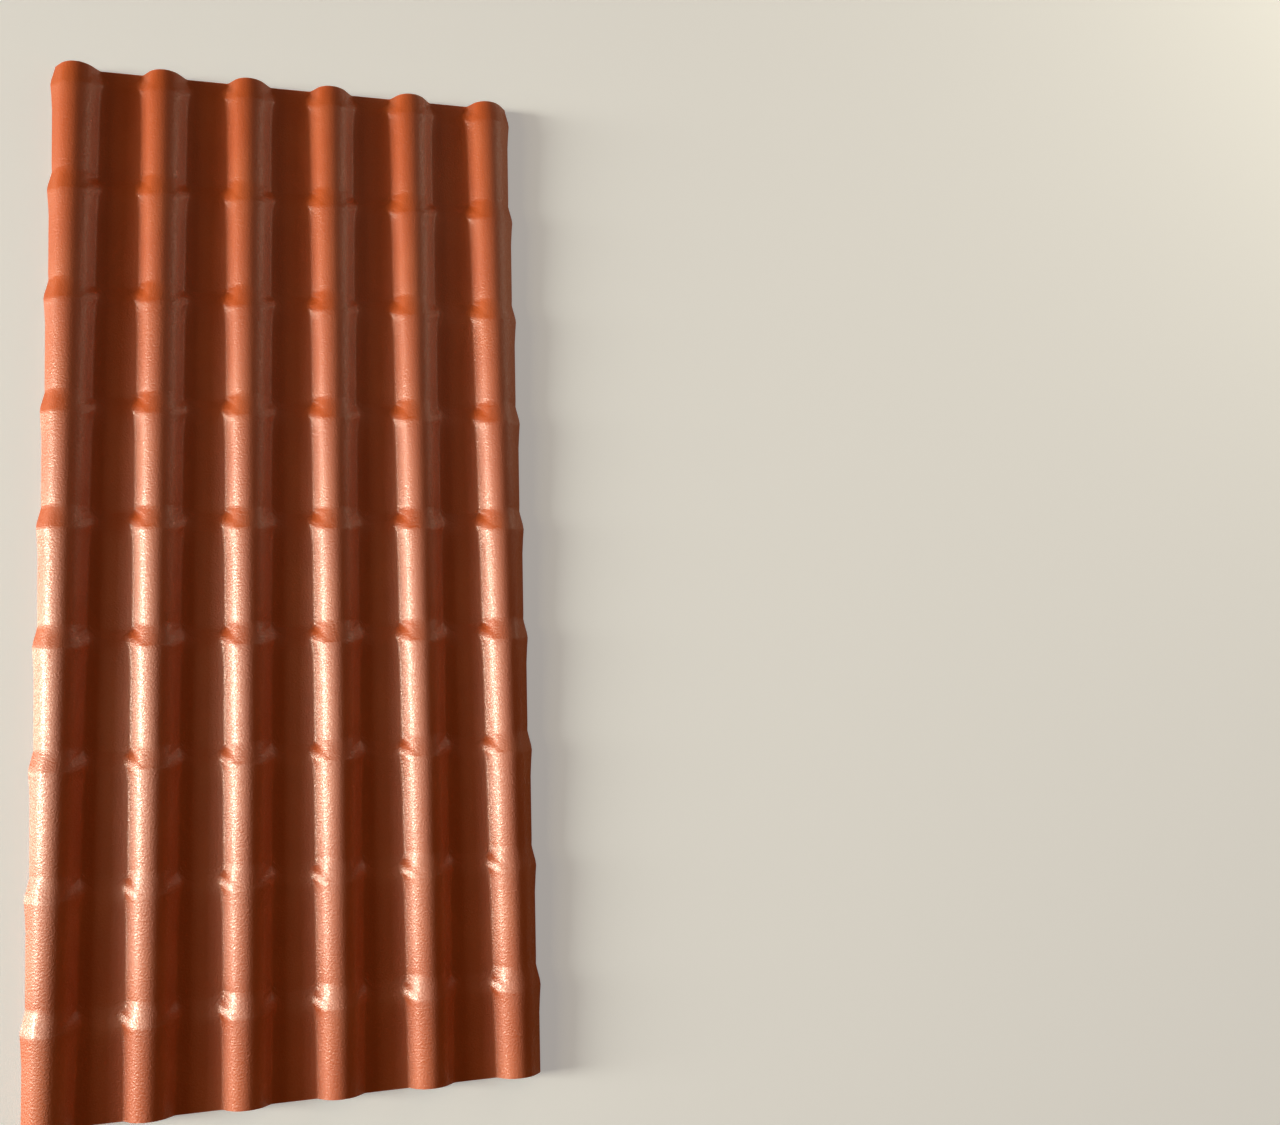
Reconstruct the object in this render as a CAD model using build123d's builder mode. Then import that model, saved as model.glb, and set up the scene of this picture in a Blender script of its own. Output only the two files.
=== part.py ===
"""A PVC roof tile sheet: six round waves across, pressed into tile rows along its length.

The sheet lies flat with its weather face up. X runs across the waves, Y along them, Z is up,
and the origin is under the middle of the sheet, on the plane that its valleys rest on.
Every tile row starts raised and wide, and sinks and narrows evenly until a short ramp lifts
the whole wave section to the start of the next row.
"""
from build123d import *
import os
from math import acos, atan2, cos, degrees, hypot, radians, sin

# Waves, across the sheet
wave_count = 6
wave_pitch = 160.0
wave_height = 30.0
wave_half_width = 44.0
flank_angle = 53.0
foot_radius = 6.0
sheet_thickness = 2.5

# Tile rows, along the sheet: what a row has gained at its raised start
row_length = 219.0
ramp_count = 9
ramp_length = 36.0
row_rise = 5.0
row_spread = 1.5
edge_spread = 2.0

# How far the side edges run down the outer flanks beyond the start of a foot
edge_reach = 1.5

# The ears: each wave foot stands out beyond the row part of the way up a ramp
ear_offset = 18.0
ear_spread = 7.0

# The plain stretches between the cut ends and the nearest ramp
head_length = 10.0
tail_length = 152.0

sheet_length = head_length + (ramp_count - 1) * row_length + ramp_length + tail_length
fall_length = row_length - ramp_length


def wave_centres():
    """The X of each wave's crest, from one side edge to the other."""
    first = -(wave_count - 1) * wave_pitch / 2
    return [first + wave * wave_pitch for wave in range(wave_count)]


def crest_radius(half_width):
    """The crest radius whose flanks, at the flank angle, end in feet that far from its middle."""
    sine, cosine = sin(radians(flank_angle)), cos(radians(flank_angle))
    run = half_width * sine - (wave_height - foot_radius) * cosine
    return (run - foot_radius) / (1 - cosine)


def flank_lean(radius, half_width):
    """The angle of the flank that touches both the crest arc and the foot arc."""
    rise = foot_radius + radius - wave_height
    reach = hypot(half_width, rise)
    normal = degrees(atan2(rise, half_width)) + degrees(acos((radius + foot_radius) / reach))
    return 90 - normal


def face_line(share, ear, depth):
    """Draw one face of the sheet, a depth under the weather face, and give its two ends.

    The share is 0 at the low end of a row and 1 at its raised start. The ear is how far the
    feet stand out beyond the row.
    """
    row_half_width = wave_half_width + share * row_spread
    radius = crest_radius(row_half_width)
    half_width = row_half_width + ear
    lean = flank_lean(radius, half_width)
    sine, cosine = sin(radians(lean)), cos(radians(lean))
    valley = sheet_thickness + share * row_rise
    foot = foot_radius + depth
    edge_run = edge_reach + share * edge_spread
    centres = wave_centres()
    ends = []
    for centre in centres:
        arc = CenterArc((centre, valley + wave_height - radius), radius - depth, 90 - lean, 2 * lean)
        for side, arc_end in ((1, arc @ 0), (-1, arc @ 1)):
            foot_x = centre + side * half_width
            foot_z = valley + foot_radius
            flank_x = foot_x - side * foot * sine
            flank_z = foot_z - foot * cosine
            if centre == side * centres[-1]:
                ends.append((flank_x + side * edge_run, flank_z - edge_run * sine / cosine))
                Line(arc_end, ends[-1])
            else:
                Line(arc_end, (flank_x, flank_z))
                CenterArc((foot_x, foot_z), foot, 270, -side * lean)
    for left, right in zip(centres, centres[1:]):
        Line((left + half_width, valley - depth), (right - half_width, valley - depth))
    return ends


def stations():
    """The Y, share and ear of each section, from the head of the sheet to its tail."""
    head = sheet_length / 2
    found = [(head, head_length / fall_length, 0)]
    for ramp in range(ramp_count):
        ramp_top = head - head_length - ramp * row_length
        found.append((ramp_top, 0, 0))
        found.append((ramp_top - ear_offset, ear_offset / ramp_length, ear_spread))
        found.append((ramp_top - ramp_length, 1, 0))
    found.append((-head, 1 - tail_length / fall_length, 0))
    return found


with BuildPart() as roof_sheet:
    for along, share, ear in stations():
        with BuildSketch(Plane.XZ.offset(-along)):
            with BuildLine():
                weather_ends = face_line(share, ear, 0)
                under_ends = face_line(share, ear, sheet_thickness)
                for weather_end, under_end in zip(weather_ends, under_ends):
                    Line(weather_end, under_end)
            make_face()
    loft(ruled=True)

roof_sheet.part.label = "roof_sheet"
os.makedirs("parts", exist_ok=True)
export_step(roof_sheet.part, "parts/roof_sheet.step")
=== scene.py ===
"""The look of a PVC roof tile sheet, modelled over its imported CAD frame.

The sheet lies flat with its weather face up: X runs across its waves, Y along them, and every
tile row begins at a pressed fold, where the wave steps up and out. Half a wave of one row is
modelled once, mirrored and repeated, and the outer half waves are joined to its sides.
"""

import logging
from dataclasses import dataclass, field
from enum import Enum
from math import cos, radians, sin, tan
from typing import Callable, Sequence

import bmesh
import bpy
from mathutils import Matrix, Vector


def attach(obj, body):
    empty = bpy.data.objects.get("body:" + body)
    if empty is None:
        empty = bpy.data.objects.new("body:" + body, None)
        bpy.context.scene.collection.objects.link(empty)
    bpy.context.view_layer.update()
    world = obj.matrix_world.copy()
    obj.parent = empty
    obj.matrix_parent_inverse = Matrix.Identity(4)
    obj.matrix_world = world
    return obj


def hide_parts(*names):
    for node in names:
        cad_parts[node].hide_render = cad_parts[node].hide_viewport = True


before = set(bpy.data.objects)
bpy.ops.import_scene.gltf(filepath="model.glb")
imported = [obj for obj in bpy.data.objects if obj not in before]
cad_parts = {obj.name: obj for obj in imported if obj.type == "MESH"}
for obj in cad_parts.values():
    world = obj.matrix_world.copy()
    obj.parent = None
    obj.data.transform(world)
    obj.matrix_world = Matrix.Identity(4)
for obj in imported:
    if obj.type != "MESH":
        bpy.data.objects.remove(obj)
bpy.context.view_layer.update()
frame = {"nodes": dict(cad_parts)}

log = logging.getLogger("roof_sheet")

# In metres: how near counts as the same place, and how near vertices are merged
SAME_PLACE = 1e-6
MERGE_REACH = 1e-5

Test = Callable[[Vector], bool]
Stops = tuple[tuple[float, float], ...]


def deselect_all() -> None:
    """Leave nothing selected, so that an operator acts only on what is picked next."""
    for thing in bpy.context.selected_objects:
        thing.select_set(False)


def make_active(piece: bpy.types.Object) -> None:
    """Select one piece alone and make it the one that operators act on.

    Args:
        piece: The object to work on.
    """
    deselect_all()
    piece.select_set(True)
    bpy.context.view_layer.objects.active = piece


def pick(piece: bpy.types.Object, wanted: Test) -> None:
    """Pick the vertices of a piece in edit mode by their place, and drop all others.

    Args:
        piece: The object that is in edit mode.
        wanted: Says whether the vertex at a place is picked.
    """
    mesh = bmesh.from_edit_mesh(piece.data)
    for vertex in mesh.verts:
        vertex.select = wanted(vertex.co)
    mesh.select_flush_mode()
    bmesh.update_edit_mesh(piece.data)


def pick_edges(piece: bpy.types.Object, wanted: Callable[[Vector, Vector], bool]) -> None:
    """Pick the edges of a piece in edit mode by their two ends, and drop all others.

    Args:
        piece: The object that is in edit mode.
        wanted: Says whether the edge between two places is picked.
    """
    mesh = bmesh.from_edit_mesh(piece.data)
    for part in (*mesh.verts, *mesh.edges, *mesh.faces):
        part.select = False
    for edge in mesh.edges:
        first, second = (vertex.co for vertex in edge.verts)
        if wanted(first, second) or wanted(second, first):
            edge.select_set(True)
    bmesh.update_edit_mesh(piece.data)


def at_any(spots: Sequence[Vector]) -> Test:
    """Make a test for vertices that lie on some known spots.

    Args:
        spots: The spots.

    Returns:
        The test.
    """
    return lambda place: any((place - spot).length < SAME_PLACE for spot in spots)


def between(value: float, stops: Stops) -> float:
    """Read a value off a line through stops.

    Args:
        value: Where to read it.
        stops: Pairs of a position and the value there, in rising positions.

    Returns:
        The value there.
    """
    for (start, low), (end, high) in zip(stops, stops[1:]):
        if value <= end:
            share = max(value - start, 0) / (end - start)
            return low + (high - low) * share
    return stops[-1][1]


def move(offset: Vector) -> None:
    """Move what is picked.

    Args:
        offset: How far along X, Y and Z.
    """
    bpy.ops.transform.translate(value=tuple(offset))


def extrude(offset: Vector) -> None:
    """Extrude what is picked and leave the new end picked.

    Args:
        offset: How far along X, Y and Z.
    """
    bpy.ops.mesh.extrude_region_move(TRANSFORM_OT_translate={"value": tuple(offset)})


def shift(piece: bpy.types.Object, offset: Vector) -> None:
    """Move all of a piece's mesh.

    Args:
        piece: The object, in object mode.
        offset: How far along X, Y and Z.
    """
    make_active(piece)
    bpy.ops.object.mode_set(mode="EDIT")
    bpy.ops.mesh.select_all(action="SELECT")
    move(offset)
    bpy.ops.object.mode_set(mode="OBJECT")


def finish_with(piece: bpy.types.Object, kind: str, **settings: object) -> None:
    """Add a modifier to a piece and apply it at once.

    Args:
        piece: The object that gets it.
        kind: The modifier's type.
        **settings: Its settings by name.
    """
    make_active(piece)
    modifier = piece.modifiers.new(kind.lower(), kind)
    for name, value in settings.items():
        setattr(modifier, name, value)
    bpy.ops.object.modifier_apply(modifier=modifier.name)


class Zone(Enum):
    """The stretches of half a wave's section, from the middle of the crest outwards."""

    CREST = "crest"
    FLANK = "flank"
    FOOT = "foot"
    VALLEY = "valley"


@dataclass(frozen=True)
class WaveSection:
    """Half the section of one wave, on the weather face, in metres.

    The steps say how many edges the crest's arc, the flank and the foot's arc are made of, and
    the valley runs are the widths of the valley's faces from the foot outwards. The outer half
    of the first and the last wave has no foot and no valley.
    """

    pitch: float = 0.160
    height: float = 0.030
    half_width: float = 0.044
    foot_radius: float = 0.006
    flank_angle: float = radians(53)
    crest_steps: int = 9
    flank_steps: int = 5
    foot_steps: int = 2
    valley_runs: tuple[float, ...] = (0.010, 0.026)
    has_foot: bool = True

    @property
    def zones(self) -> list[Zone]:
        """Sort the vertices of the section into its stretches.

        Returns:
            The stretch of each vertex, from the middle of the crest outwards.
        """
        flank = [Zone.CREST] * (self.crest_steps + 1) + [Zone.FLANK] * self.flank_steps
        foot = [Zone.FOOT] * self.foot_steps + [Zone.VALLEY] * len(self.valley_runs)
        return flank + foot if self.has_foot else flank

    def lean(self, column: int) -> float:
        """Give the angle between straight up and the outward normal at one vertex, up to the flank's."""
        return self.flank_angle * min(column / self.crest_steps, 1)

    def down_flank(self, column: int) -> float:
        """Give how far down the flank a vertex is: 0 at its top, 1 at its foot, more beyond."""
        return max(column - self.crest_steps, 0) / self.flank_steps

    def crest_radius(self, half_width: float) -> float:
        """Give the radius of the crest of a wave, whose flanks stay at their angle.

        Args:
            half_width: From the middle of the wave to its foot.

        Returns:
            The radius.
        """
        sine, cosine = sin(self.flank_angle), cos(self.flank_angle)
        run = half_width * sine - (self.height - self.foot_radius) * cosine
        return (run - self.foot_radius) / (1 - cosine)

    def on_crest(self, share: float, half_width: float) -> Vector:
        """Give a place on the crest's arc, from its middle at 0 to the flank at 1."""
        radius, angle = self.crest_radius(half_width), self.flank_angle * share
        return Vector((radius * sin(angle), 0, self.height - radius * (1 - cos(angle))))

    def on_foot(self, share: float, half_width: float) -> Vector:
        """Give a place on the foot's arc, from the flank at 0 to the valley at 1."""
        radius, angle = self.foot_radius, self.flank_angle * (1 - share)
        return Vector((half_width - radius * sin(angle), 0, radius * (1 - cos(angle))))

    def point(self, column: int, half_width: float) -> Vector:
        """Give the place of one vertex of the section, over the valley's face.

        Args:
            column: Which vertex, counted from the middle of the crest.
            half_width: From the middle of the wave to its foot.

        Returns:
            Its place, with X from the middle of the wave and Z from the valley.
        """
        zone = self.zones[column]
        first = self.zones.index(zone)
        if zone is Zone.CREST:
            return self.on_crest(column / self.crest_steps, half_width)
        if zone is Zone.FLANK:
            share = (column - first + 1) / self.flank_steps
            return self.on_crest(1, half_width).lerp(self.on_foot(0, half_width), share)
        if zone is Zone.FOOT:
            return self.on_foot((column - first + 1) / self.foot_steps, half_width)
        return Vector((self.pitch / 2 - sum(self.valley_runs[column - first + 1:]), 0, 0))

    def draw(self, name: str) -> bpy.types.Object:
        """Draw the section as one open line, and leave it in edit mode.

        Args:
            name: The new object's name.

        Returns:
            The object.
        """
        deselect_all()
        bpy.ops.mesh.primitive_plane_add(size=self.pitch)
        piece = bpy.context.object
        piece.name = piece.data.name = name
        bpy.ops.object.mode_set(mode="EDIT")
        bpy.ops.mesh.select_all(action="SELECT")
        bpy.ops.mesh.merge(type="CENTER")
        move(self.on_crest(0, self.half_width))
        crest_middle = self.height - self.crest_radius(self.half_width)
        bpy.ops.mesh.spin(
            steps=self.crest_steps, angle=-self.flank_angle,
            center=(0, 0, crest_middle), axis=(0, 1, 0),
        )
        flank = self.on_foot(0, self.half_width) - self.on_crest(1, self.half_width)
        for _ in range(self.flank_steps):
            extrude(flank / self.flank_steps)
        if not self.has_foot:
            return piece
        bpy.ops.mesh.spin(
            steps=self.foot_steps, angle=self.flank_angle,
            center=(self.half_width, 0, self.foot_radius), axis=(0, 1, 0),
        )
        for run in self.valley_runs:
            extrude(Vector((run, 0, 0)))
        return piece


class Stance(Enum):
    """What a ring's wave stands on."""

    ROW = "its own height on the row"
    RAISED = "the raised start of the row, its flanks running down onto the ramp"


@dataclass(frozen=True)
class Ring:
    """One line over half a wave that the row is shaped by.

    The line gives how far down the row it crosses each distance from the middle of the wave,
    and the relief how far it stands out of the wave there. The steps lead down to it from the
    ring above. The ear is how far the foot is drawn out into the valley.
    """

    name: str
    line: Stops
    steps: int = 1
    stance: Stance = Stance.ROW
    relief: Stops = ((0.0, 0.0), (1.0, 0.0))
    ear: float = 0.0


def straight(name: str, down: float, steps: int = 1) -> Ring:
    """Make a ring that crosses the whole wave at one place along the row.

    Args:
        name: The ring's name.
        down: How far down the row it is.
        steps: How many steps lead down to it.

    Returns:
        The ring.
    """
    return Ring(name, ((0.0, down), (1.0, down)), steps)


# The fold across half a wave that has a foot, from the top of the ramp to the end of the row
INNER_FOLD = (
    Ring(
        "top of the ramp",
        ((0.0, -0.004), (0.016, -0.007), (0.030, -0.009), (0.044, -0.012), (0.054, 0.0), (0.080, 0.0)),
        steps=3,
        relief=((0.0, 0.0), (0.010, 0.0), (0.018, -0.0003), (0.036, -0.0004), (0.044, 0.0)),
    ),
    Ring(
        "crown of the bar",
        ((0.0, 0.009), (0.013, 0.012), (0.018, 0.009), (0.022, 0.006), (0.027, 0.002), (0.033, -0.002),
         (0.040, -0.006), (0.044, -0.009), (0.054, 0.005), (0.080, 0.009)),
        steps=2,
        relief=((0.0, 0.0), (0.008, 0.0), (0.018, 0.0008), (0.022, 0.0010), (0.033, 0.0006), (0.040, 0.0)),
    ),
    Ring(
        "foot of the bar",
        ((0.0, 0.019), (0.012, 0.020), (0.018, 0.019), (0.022, 0.015), (0.027, 0.0095), (0.033, 0.003),
         (0.040, -0.0035), (0.044, -0.0065), (0.054, 0.011), (0.080, 0.018)),
        steps=3,
        relief=((0.0, 0.0), (0.010, 0.0), (0.022, 0.0007), (0.033, 0.0003), (0.044, 0.0)),
    ),
    Ring(
        "middle of the riser",
        ((0.0, 0.023), (0.012, 0.025), (0.018, 0.0245), (0.022, 0.0215), (0.027, 0.0165), (0.033, 0.011),
         (0.040, 0.0045), (0.044, 0.0005), (0.054, 0.014), (0.080, 0.022)),
        steps=2, ear=0.0020,
        relief=((0.0, 0.0), (0.012, 0.0), (0.022, 0.0006), (0.033, 0.0010), (0.040, 0.0008), (0.054, 0.0)),
    ),
    Ring(
        "rim",
        ((0.0, 0.028), (0.012, 0.029), (0.018, 0.029), (0.022, 0.027), (0.028, 0.0225), (0.033, 0.0185),
         (0.038, 0.014), (0.044, 0.008), (0.054, 0.018), (0.080, 0.027)),
        steps=2, stance=Stance.RAISED, ear=0.0056,
        relief=((0.0, 0.0), (0.012, 0.0), (0.022, 0.0007), (0.036, 0.0009), (0.044, 0.0003), (0.054, 0.0)),
    ),
    Ring(
        "summit of the ear",
        ((0.0, 0.035), (0.014, 0.034), (0.022, 0.034), (0.028, 0.0335), (0.033, 0.031), (0.038, 0.026),
         (0.044, 0.017), (0.054, 0.027), (0.080, 0.036)),
        steps=3, stance=Stance.RAISED, ear=0.0066,
        relief=((0.0, 0.0), (0.010, 0.0), (0.020, 0.0008), (0.036, 0.0012), (0.044, 0.0003), (0.054, 0.0)),
    ),
    Ring(
        "back of the ear",
        ((0.0, 0.048), (0.024, 0.048), (0.033, 0.045), (0.044, 0.031), (0.054, 0.038), (0.080, 0.048)),
        steps=3, stance=Stance.RAISED, ear=0.0018,
        relief=((0.0, 0.0), (0.012, 0.0001), (0.022, 0.0004), (0.036, 0.0005), (0.044, 0.0)),
    ),
    straight("start of the row", 0.080, 3),
    straight("end of the row", 0.199, 3),
)

OUTER_RELIEF = ((0.0, 0.0), (0.008, 0.0), (0.020, 0.0010), (0.044, 0.0010))

# The same fold across the outer half of the first and the last wave, which end at a side edge
OUTER_FOLD = (
    Ring(
        "top of the ramp", ((0.0, -0.004), (0.016, -0.008), (0.044, -0.008)),
        steps=3, relief=((0.0, 0.0), (0.010, 0.0), (0.018, -0.0004), (0.044, -0.0004)),
    ),
    Ring(
        "crown of the bar", ((0.0, 0.009), (0.020, 0.007), (0.044, -0.001)),
        steps=2, ear=0.0010, relief=OUTER_RELIEF,
    ),
    Ring(
        "foot of the bar", ((0.0, 0.019), (0.018, 0.018), (0.044, 0.005)),
        steps=3, ear=0.0026, relief=OUTER_RELIEF,
    ),
    Ring(
        "middle of the riser", ((0.0, 0.023), (0.018, 0.022), (0.044, 0.010)),
        steps=2, ear=0.0036, relief=OUTER_RELIEF,
    ),
    Ring(
        "rim", ((0.0, 0.028), (0.020, 0.028), (0.044, 0.018)),
        steps=2, ear=0.0054, relief=OUTER_RELIEF,
    ),
    Ring(
        "summit of the ear", ((0.0, 0.035), (0.030, 0.034), (0.044, 0.028)),
        steps=3, ear=0.0056, relief=OUTER_RELIEF,
    ),
    Ring(
        "back of the ear", ((0.0, 0.048), (0.044, 0.048)),
        steps=3, ear=0.0026, relief=((0.0, 0.0), (0.012, 0.0001), (0.022, 0.0004), (0.044, 0.0004)),
    ),
    straight("start of the row", 0.080, 3),
    straight("end of the row", 0.199, 3),
)


@dataclass(frozen=True)
class TileRow:
    """Half a wave of one tile row, from above its ramp to above the next.

    The lead is how far above the ramp the mesh begins. The rise and the spread are what the
    wave has gained in height and half width at the foot of the ramp. The ear gather says how
    closely an ear keeps to the foot of the flank. A side edge, where there is one, reaches
    further down its flank, by the edge reach all along the row and by the edge spread at the
    foot of the ramp.
    """

    section: WaveSection = field(default_factory=WaveSection)
    length: float = 0.219
    lead: float = 0.020
    ramp: float = 0.036
    rise: float = 0.005
    spread: float = 0.0015
    thickness: float = 0.0025
    ear_gather: int = 5
    edge_reach: float = 0.0
    edge_spread: float = 0.0
    rings: tuple[Ring, ...] = INNER_FOLD

    def share(self, down: float) -> float:
        """Give how much of its rise the row has at one place.

        Args:
            down: How far down the row that is, below 0 for the end of the row above.

        Returns:
            0 at both ends of the row, and 1 at the foot of its ramp.
        """
        down %= self.length
        if down <= self.ramp:
            return down / self.ramp
        return (self.length - down) / (self.length - self.ramp)

    def stand(self, ring: Ring, column: int, down: float) -> Vector:
        """Stand one vertex of the plain wave on the row.

        Args:
            ring: The ring that the vertex is on.
            column: Which vertex of the section, counted from the middle of the crest.
            down: How far down the row the vertex is.

        Returns:
            Its place, without the ring's ear and relief.
        """
        section = self.section
        zone = section.zones[column]
        lift = self.rise * self.share(down)
        spread = self.spread * self.share(down)
        slide = 0.0
        if ring.stance is Stance.RAISED and zone is not Zone.VALLEY:
            crest_share = self.share(ring.line[0][1])
            top = self.rise * crest_share
            foot = self.rise * self.share(between(section.half_width, ring.line))
            slide = (top - foot) * min(section.down_flank(column), 1)
            lift = top - slide if zone is not Zone.FOOT else lift
            spread = self.spread * crest_share
        place = section.point(column, section.half_width + spread)
        return place + Vector((slide / tan(section.flank_angle), -down, self.thickness + lift))

    def ear_draw(self, ring: Ring, column: int) -> float:
        """Give how far a ring's ear draws one of its vertices outwards.

        Args:
            ring: The ring.
            column: Which vertex of the section, counted from the middle of the crest.

        Returns:
            How far along X, at most the ear, which the foot of the flank gets.
        """
        section = self.section
        across = section.point(column, section.half_width).x
        if section.zones[column] is Zone.VALLEY:
            middle = section.pitch / 2
            return ring.ear * (middle - across) / (middle - section.half_width)
        return ring.ear * (across / section.half_width) ** self.ear_gather

    def place(self, ring: Ring, column: int) -> Vector:
        """Give the place of one vertex of a ring.

        Args:
            ring: The ring.
            column: Which vertex of the section, counted from the middle of the crest.

        Returns:
            Its place, with the crest at X 0 and the top of the ramp at Y 0.
        """
        section = self.section
        across = section.point(column, section.half_width).x
        down = between(across, ring.line)
        place = self.stand(ring, column, down)
        place.x += self.ear_draw(ring, column)
        if not section.has_foot:
            reach = self.edge_reach + self.edge_spread * self.share(down)
            run = reach * section.down_flank(column)
            place += Vector((run, 0, -run * tan(section.flank_angle)))
        lean = section.lean(column)
        place += between(across, ring.relief) * Vector((sin(lean), 0, cos(lean)))
        return place

    def build(self, name: str) -> bpy.types.Object:
        """Model half a wave of the row.

        Args:
            name: The new object's name.

        Returns:
            The half wave, in object mode.
        """
        section = self.section
        piece = section.draw(name)
        columns = range(len(section.zones))
        drawn = [section.point(column, section.half_width) for column in columns]
        above = self.lay(piece, drawn, straight("start", -self.lead))
        for ring in self.rings:
            pick(piece, at_any(above))
            extrude(Vector((0, -self.length, 0)))
            below = self.lay(piece, [spot - Vector((0, self.length, 0)) for spot in above], ring)
            if ring.steps > 1:
                on_above, on_below = at_any(above), at_any(below)
                pick_edges(piece, lambda first, second: on_above(first) and on_below(second))
                bpy.ops.mesh.subdivide(number_cuts=ring.steps - 1)
            above = below
        bpy.ops.object.mode_set(mode="OBJECT")
        return piece

    def lay(self, piece: bpy.types.Object, spots: Sequence[Vector], ring: Ring) -> list[Vector]:
        """Move a line of vertices onto a ring.

        Args:
            piece: The half wave, in edit mode.
            spots: Where the vertices are now.
            ring: The ring.

        Returns:
            Where the vertices are then.
        """
        laid = [self.place(ring, column) for column in range(len(spots))]
        for old, new in zip(spots, laid):
            pick(piece, at_any([old]))
            move(new - old)
        return laid


@dataclass(frozen=True)
class RoofSheet:
    """The whole sheet: its waves, its tile rows and its four cut edges.

    The end play keeps the cut ends just inside the frame's. The softened stretch is where along
    a row the pressed fold is rounded, and the two margins keep the rounding off the cut edges.
    The edge ease is how far the edges that turn more than the edge angle are bevelled.
    """

    row: TileRow = field(default_factory=TileRow)
    side: TileRow = field(default_factory=lambda: TileRow(
        section=WaveSection(has_foot=False),
        edge_reach=0.0015,
        edge_spread=0.002,
        rings=OUTER_FOLD,
    ))
    wave_count: int = 6
    ramp_count: int = 9
    head_length: float = 0.010
    tail_length: float = 0.152
    end_play: float = 0.0003
    softened_stretch: tuple[float, float] = (0.004, 0.060)
    softening: float = 0.5
    end_margin: float = 0.002
    side_margin: float = 0.006
    edge_ease: float = 0.0004
    edge_angle: float = radians(60)
    smooth_angle: float = radians(40)

    @property
    def length(self) -> float:
        """The length of the sheet, from its head to its tail."""
        row = self.row
        return self.head_length + (self.ramp_count - 1) * row.length + row.ramp + self.tail_length

    def build(self) -> bpy.types.Object:
        """Model the sheet.

        Returns:
            The sheet, with its place in its mesh.
        """
        piece = self.row.build("roof_sheet_skin")
        self.widen(piece)
        self.add_sides(piece)
        self.lengthen(piece)
        self.soften(piece)
        self.thicken(piece)
        return piece

    def widen(self, piece: bpy.types.Object) -> None:
        """Mirror the half wave over the valley and repeat it from the first crest to the last.

        Args:
            piece: The half wave.
        """
        pitch = self.row.section.pitch
        shift(piece, Vector((-pitch / 2, 0, 0)))
        finish_with(piece, "MIRROR", use_mirror_merge=True, merge_threshold=MERGE_REACH)
        finish_with(
            piece, "ARRAY", count=self.wave_count - 1, use_relative_offset=False,
            use_constant_offset=True, constant_offset_displace=(pitch, 0, 0),
            use_merge_vertices=True, merge_threshold=MERGE_REACH,
        )
        shift(piece, Vector((-(self.wave_count / 2 - 1) * pitch, 0, 0)))

    def add_sides(self, piece: bpy.types.Object) -> None:
        """Join the outer half of the first and the last wave, which have no foot.

        Args:
            piece: One tile row, from the first crest to the last.
        """
        sides = self.side.build("sides")
        shift(sides, Vector(((self.wave_count - 1) / 2 * self.row.section.pitch, 0, 0)))
        finish_with(sides, "MIRROR", use_mirror_merge=False)
        make_active(piece)
        sides.select_set(True)
        bpy.ops.object.join()
        bpy.ops.object.mode_set(mode="EDIT")
        bpy.ops.mesh.select_all(action="SELECT")
        bpy.ops.mesh.remove_doubles(threshold=MERGE_REACH)
        bpy.ops.object.mode_set(mode="OBJECT")

    def lengthen(self, piece: bpy.types.Object) -> None:
        """Repeat the tile row along the sheet and cut the sheet's two ends.

        Args:
            piece: One tile row of the sheet.
        """
        row = self.row
        finish_with(
            piece, "ARRAY", count=self.ramp_count, use_relative_offset=False,
            use_constant_offset=True, constant_offset_displace=(0, -row.length, 0),
            use_merge_vertices=True, merge_threshold=MERGE_REACH,
        )
        head = self.length / 2
        shift(piece, Vector((0, head - self.head_length, 0)))
        bpy.ops.object.mode_set(mode="EDIT")
        for end in (1, -1):
            bpy.ops.mesh.select_all(action="SELECT")
            cut = Vector((0, end * (head - self.end_play), 0))
            bpy.ops.mesh.bisect(plane_co=cut, plane_no=(0, end, 0), clear_outer=True)
        bpy.ops.object.mode_set(mode="OBJECT")

    def on_fold(self, place: Vector) -> bool:
        """Say whether a place is on a pressed fold, away from the cut edges.

        Args:
            place: A place on the sheet.

        Returns:
            Whether the fold is rounded there.
        """
        row, head = self.row, self.length / 2
        side = (self.wave_count - 1) / 2 * row.section.pitch + row.section.half_width
        inside = abs(place.y) < head - self.end_margin and abs(place.x) < side - self.side_margin
        start, end = self.softened_stretch
        return inside and start < (head - self.head_length - place.y) % row.length < end

    def soften(self, piece: bpy.types.Object) -> None:
        """Round the pressed folds.

        Args:
            piece: The sheet's weather face.
        """
        make_active(piece)
        bpy.ops.object.mode_set(mode="EDIT")
        pick(piece, self.on_fold)
        bpy.ops.mesh.vertices_smooth(factor=self.softening)
        bpy.ops.object.mode_set(mode="OBJECT")

    def thicken(self, piece: bpy.types.Object) -> None:
        """Give the weather face its thickness, ease the cut edges and shade it smooth.

        Args:
            piece: The sheet's weather face.
        """
        make_active(piece)
        bpy.ops.object.mode_set(mode="EDIT")
        bpy.ops.mesh.select_all(action="SELECT")
        bpy.ops.mesh.normals_make_consistent(inside=False)
        bpy.ops.object.mode_set(mode="OBJECT")
        middle = piece.data.polygons[len(piece.data.polygons) // 2]
        if middle.normal.z < 0:
            piece.data.flip_normals()
        finish_with(piece, "SOLIDIFY", thickness=self.row.thickness, offset=-1.0)
        finish_with(
            piece, "BEVEL", width=self.edge_ease, segments=1,
            limit_method="ANGLE", angle_limit=self.edge_angle,
        )
        bpy.ops.object.shade_smooth_by_angle(angle=self.smooth_angle)


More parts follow.
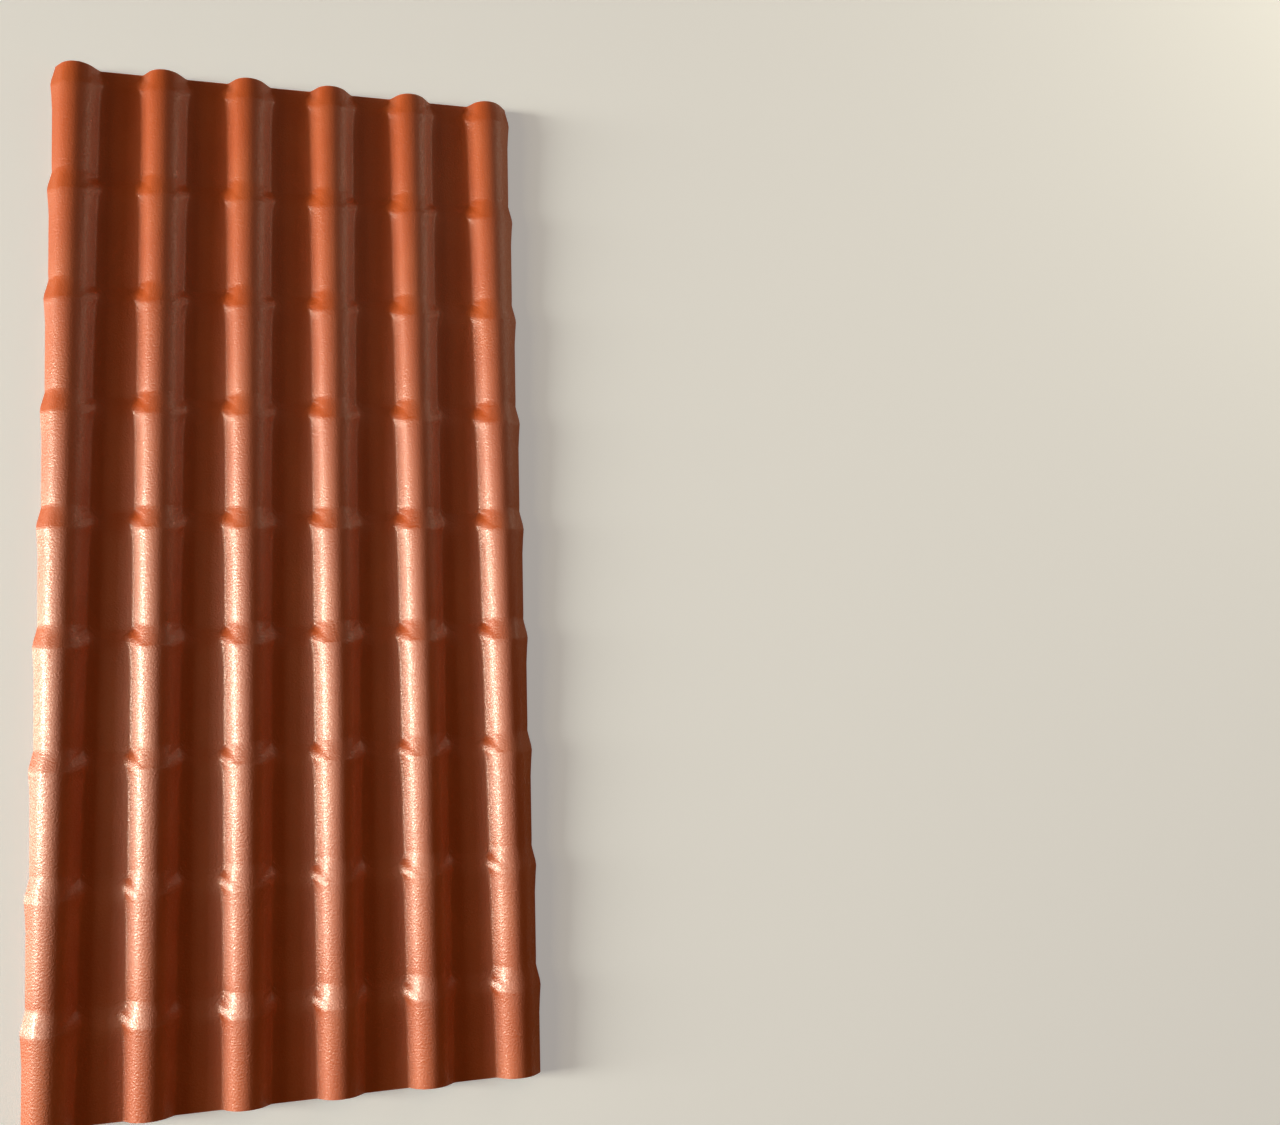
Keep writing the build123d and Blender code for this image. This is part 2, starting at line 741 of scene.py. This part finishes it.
@dataclass(frozen=True)
class PvcFinish:
    """Glossy terracotta PVC with a fine grain, drawn along its waves, under a thin clear skin.

    The scales say how many grains of a noise go to the metre. A span is the stretch of a noise's
    value that is spread over the whole range of what it steers.
    """

    color: tuple[float, float, float] = (0.46, 0.088, 0.019)
    pale_color: tuple[float, float, float] = (0.50, 0.115, 0.034)
    cloud_scale: float = 9.0
    cloud_detail: float = 6.0
    cloud_span: tuple[float, float] = (0.45, 0.75)
    roughness: tuple[float, float] = (0.40, 0.66)
    fleck_scale: float = 300.0
    fleck_detail: float = 2.0
    fleck_span: tuple[float, float] = (0.35, 0.65)
    grain_scale: float = 290.0
    grain_detail: float = 1.0
    grain_depth: float = 0.0005
    index: float = 1.62
    gloss: float = 1.0
    drawn: float = 0.78
    skin: float = 0.55
    skin_roughness: float = 0.32
    skin_index: float = 1.35

    def material(self) -> bpy.types.Material:
        """Make the finish.

        Returns:
            The material.
        """
        material = bpy.data.materials.new("terracotta_pvc")
        material.use_nodes = True
        tree = material.node_tree
        shader = tree.nodes["Principled BSDF"]
        self.set_gloss(shader)
        grain = self.grain(tree)
        tree.links.new(self.tone(tree), shader.inputs["Base Color"])
        tree.links.new(self.flecks(tree), shader.inputs["Roughness"])
        tree.links.new(grain, shader.inputs["Normal"])
        tree.links.new(grain, shader.inputs["Coat Normal"])
        tree.links.new(self.across_waves(tree), shader.inputs["Tangent"])
        return material

    def set_gloss(self, shader: bpy.types.ShaderNode) -> None:
        """Set how the plastic and its skin shine.

        Args:
            shader: The material's shader.
        """
        shader.inputs["IOR"].default_value = self.index
        shader.inputs["Specular IOR Level"].default_value = self.gloss
        shader.inputs["Anisotropic"].default_value = self.drawn
        shader.inputs["Coat Weight"].default_value = self.skin
        shader.inputs["Coat Roughness"].default_value = self.skin_roughness
        shader.inputs["Coat IOR"].default_value = self.skin_index

    @staticmethod
    def noise(tree: bpy.types.NodeTree, scale: float, detail: float) -> bpy.types.NodeSocket:
        """Lay a noise over the sheet.

        Args:
            tree: The material's nodes.
            scale: How many grains go to the metre.
            detail: How many finer noises are added to it.

        Returns:
            The noise's value.
        """
        place = tree.nodes.new("ShaderNodeTexCoord")
        texture = tree.nodes.new("ShaderNodeTexNoise")
        texture.inputs["Scale"].default_value = scale
        texture.inputs["Detail"].default_value = detail
        tree.links.new(place.outputs["Object"], texture.inputs["Vector"])
        return texture.outputs["Fac"]

    @staticmethod
    def stretched(
        tree: bpy.types.NodeTree,
        value: bpy.types.NodeSocket,
        span: tuple[float, float],
        result: tuple[float, float],
    ) -> bpy.types.NodeSocket:
        """Spread a span of a value over another range.

        Args:
            tree: The material's nodes.
            value: The value.
            span: The span of the value that is spread.
            result: The range that it is spread over.

        Returns:
            The value in that range.
        """
        stretch = tree.nodes.new("ShaderNodeMapRange")
        stretch.inputs["From Min"].default_value, stretch.inputs["From Max"].default_value = span
        stretch.inputs["To Min"].default_value, stretch.inputs["To Max"].default_value = result
        tree.links.new(value, stretch.inputs["Value"])
        return stretch.outputs["Result"]

    def tone(self, tree: bpy.types.NodeTree) -> bpy.types.NodeSocket:
        """Cloud the plastic's colour.

        Args:
            tree: The material's nodes.

        Returns:
            The colour.
        """
        tone = tree.nodes.new("ShaderNodeMix")
        tone.data_type = "RGBA"
        tone.inputs["A"].default_value = (*self.color, 1)
        tone.inputs["B"].default_value = (*self.pale_color, 1)
        clouds = self.noise(tree, self.cloud_scale, self.cloud_detail)
        tree.links.new(self.stretched(tree, clouds, self.cloud_span, (0, 1)), tone.inputs["Factor"])
        return tone.outputs["Result"]

    def flecks(self, tree: bpy.types.NodeTree) -> bpy.types.NodeSocket:
        """Fleck the plastic with duller and glossier spots.

        Args:
            tree: The material's nodes.

        Returns:
            The roughness.
        """
        flecks = self.noise(tree, self.fleck_scale, self.fleck_detail)
        return self.stretched(tree, flecks, self.fleck_span, self.roughness)

    def grain(self, tree: bpy.types.NodeTree) -> bpy.types.NodeSocket:
        """Raise the plastic's fine grain.

        Args:
            tree: The material's nodes.

        Returns:
            The grained normal.
        """
        bump = tree.nodes.new("ShaderNodeBump")
        bump.inputs["Distance"].default_value = self.grain_depth
        height = self.noise(tree, self.grain_scale, self.grain_detail)
        tree.links.new(height, bump.inputs["Height"])
        return bump.outputs["Normal"]

    @staticmethod
    def across_waves(tree: bpy.types.NodeTree) -> bpy.types.NodeSocket:
        """Give the direction on the face that runs across the waves.

        Args:
            tree: The material's nodes.

        Returns:
            The direction, at right angles to Y and to the face's normal.
        """
        place = tree.nodes.new("ShaderNodeTexCoord")
        across = tree.nodes.new("ShaderNodeVectorMath")
        across.operation = "CROSS_PRODUCT"
        across.inputs[0].default_value = (0, 1, 0)
        tree.links.new(place.outputs["Normal"], across.inputs[1])
        return across.outputs["Vector"]


@dataclass(frozen=True)
class SoftLamp:
    """A rectangular soft lamp that faces a spot on the sheet, unseen by the camera."""

    name: str
    place: tuple[float, float, float]
    size: tuple[float, float]
    power: float
    color: tuple[float, float, float]
    aim: tuple[float, float, float] = (0.0, 0.0, 0.0)
    spread: float = 180.0

    def hang(self) -> None:
        """Hang the lamp."""
        light = bpy.data.lights.new(self.name, "AREA")
        light.shape = "RECTANGLE"
        light.size, light.size_y = self.size
        light.energy = self.power
        light.color = self.color
        light.spread = radians(self.spread)
        lamp = bpy.data.objects.new(self.name, light)
        lamp.location = self.place
        facing = Vector(self.aim) - Vector(self.place)
        lamp.rotation_euler = facing.to_track_quat("-Z", "Y").to_euler()
        lamp.visible_camera = False
        bpy.context.scene.collection.objects.link(lamp)


@dataclass(frozen=True)
class Studio:
    """The floor, the backdrop, the lamps and the camera."""

    floor_size: float = 60.0
    floor_color: tuple[float, float, float] = (0.80, 0.88, 0.92)
    floor_roughness: float = 0.9
    floor_gloss: float = 0.1
    floor_glow: float = 0.32
    backdrop_color: tuple[float, float, float] = (0.84, 0.84, 0.82)
    backdrop_strength: float = 0.75
    camera_place: tuple[float, float, float] = (-0.0051, -0.4491, 2.4085)
    camera_turn: tuple[float, float, float] = (radians(10.83), radians(-15.50), radians(-3.14))
    lens: float = 34.8
    sight: float = 100.0
    air_color: tuple[float, float, float] = (1.0, 0.42, 0.10)
    air_strength: float = 0.127
    lamps: tuple[SoftLamp, ...] = (
        SoftLamp(
            "window_light", place=(-16.0, 0.2, 3.2), size=(3.6, 4.8), power=312.0,
            color=(1.0, 0.895, 0.73), aim=(0.0, -0.45, 0.0), spread=44.0,
        ),
        SoftLamp(
            "sky_light", place=(-16.0, 0.2, 7.6), size=(3.6, 3.0), power=29.0,
            color=(1.0, 0.76, 0.42), aim=(0.0, -0.20, 0.0), spread=44.0,
        ),
        SoftLamp(
            "side_light", place=(3.2, 1.9, 1.1), size=(2.4, 1.5), power=18.0,
            color=(1.0, 0.86, 0.62),
        ),
    )

    def build(self) -> None:
        """Set up the studio."""
        self.lay_floor()
        for lamp in self.lamps:
            lamp.hang()
        self.fill_air()
        self.place_camera()
        bpy.context.scene.view_settings.view_transform = "Standard"

    def lay_floor(self) -> None:
        """Lay the floor under the sheet."""
        deselect_all()
        bpy.ops.mesh.primitive_plane_add(size=self.floor_size)
        floor = bpy.context.object
        floor.name = floor.data.name = "studio_floor"
        floor.data.materials.append(self.floor_paint())

    def floor_paint(self) -> bpy.types.Material:
        """Make the floor's paint, which glows a little where the camera sees it.

        Returns:
            The material.
        """
        material = bpy.data.materials.new("floor_paint")
        material.use_nodes = True
        nodes, links = material.node_tree.nodes, material.node_tree.links
        shader = nodes["Principled BSDF"]
        shader.inputs["Base Color"].default_value = (*self.floor_color, 1)
        shader.inputs["Roughness"].default_value = self.floor_roughness
        shader.inputs["Specular IOR Level"].default_value = self.floor_gloss
        shader.inputs["Emission Color"].default_value = (*self.floor_color, 1)
        rays = nodes.new("ShaderNodeLightPath")
        seen = nodes.new("ShaderNodeMath")
        seen.operation = "MAXIMUM"
        glow = nodes.new("ShaderNodeMath")
        glow.operation = "MULTIPLY"
        glow.inputs[1].default_value = self.floor_glow
        links.new(rays.outputs["Is Camera Ray"], seen.inputs[0])
        links.new(rays.outputs["Is Transmission Ray"], seen.inputs[1])
        links.new(seen.outputs["Value"], glow.inputs[0])
        links.new(glow.outputs["Value"], shader.inputs["Emission Strength"])
        return material

    def fill_air(self) -> None:
        """Light everything weakly from all around, and show the camera a pale backdrop."""
        world = bpy.data.worlds.new("studio_air")
        world.use_nodes = True
        nodes, links = world.node_tree.nodes, world.node_tree.links
        air = nodes["Background"]
        air.inputs["Color"].default_value = (*self.air_color, 1)
        air.inputs["Strength"].default_value = self.air_strength
        backdrop = nodes.new("ShaderNodeBackground")
        backdrop.inputs["Color"].default_value = (*self.backdrop_color, 1)
        backdrop.inputs["Strength"].default_value = self.backdrop_strength
        rays = nodes.new("ShaderNodeLightPath")
        seen = nodes.new("ShaderNodeMixShader")
        links.new(rays.outputs["Is Camera Ray"], seen.inputs["Fac"])
        links.new(air.outputs["Background"], seen.inputs[1])
        links.new(backdrop.outputs["Background"], seen.inputs[2])
        links.new(seen.outputs["Shader"], nodes["World Output"].inputs["Surface"])
        bpy.context.scene.world = world

    def place_camera(self) -> None:
        """Look down on the sheet from the photographed angle."""
        camera = bpy.data.cameras.new("camera")
        camera.lens = self.lens
        camera.clip_end = self.sight
        stand = bpy.data.objects.new("camera", camera)
        stand.location = self.camera_place
        stand.rotation_euler = self.camera_turn
        bpy.context.scene.collection.objects.link(stand)
        bpy.context.scene.camera = stand


def main() -> None:
    """Build the sheet and the studio around it."""
    logging.basicConfig(level=logging.INFO, format="%(name)s: %(message)s")
    log.info("frame: %s", ", ".join(frame["nodes"]))
    sheet = RoofSheet()
    piece = sheet.build()
    piece.data.materials.clear()
    piece.data.materials.append(PvcFinish().material())
    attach(piece, "root")
    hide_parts("roof_sheet")
    triangles = sum(len(face.vertices) - 2 for face in piece.data.polygons)
    log.info("sheet: %d triangles, %.3f m long", triangles, sheet.length)
    Studio().build()
    log.info("studio: floor, lamps and camera")


if __name__ == "__main__":
    main()
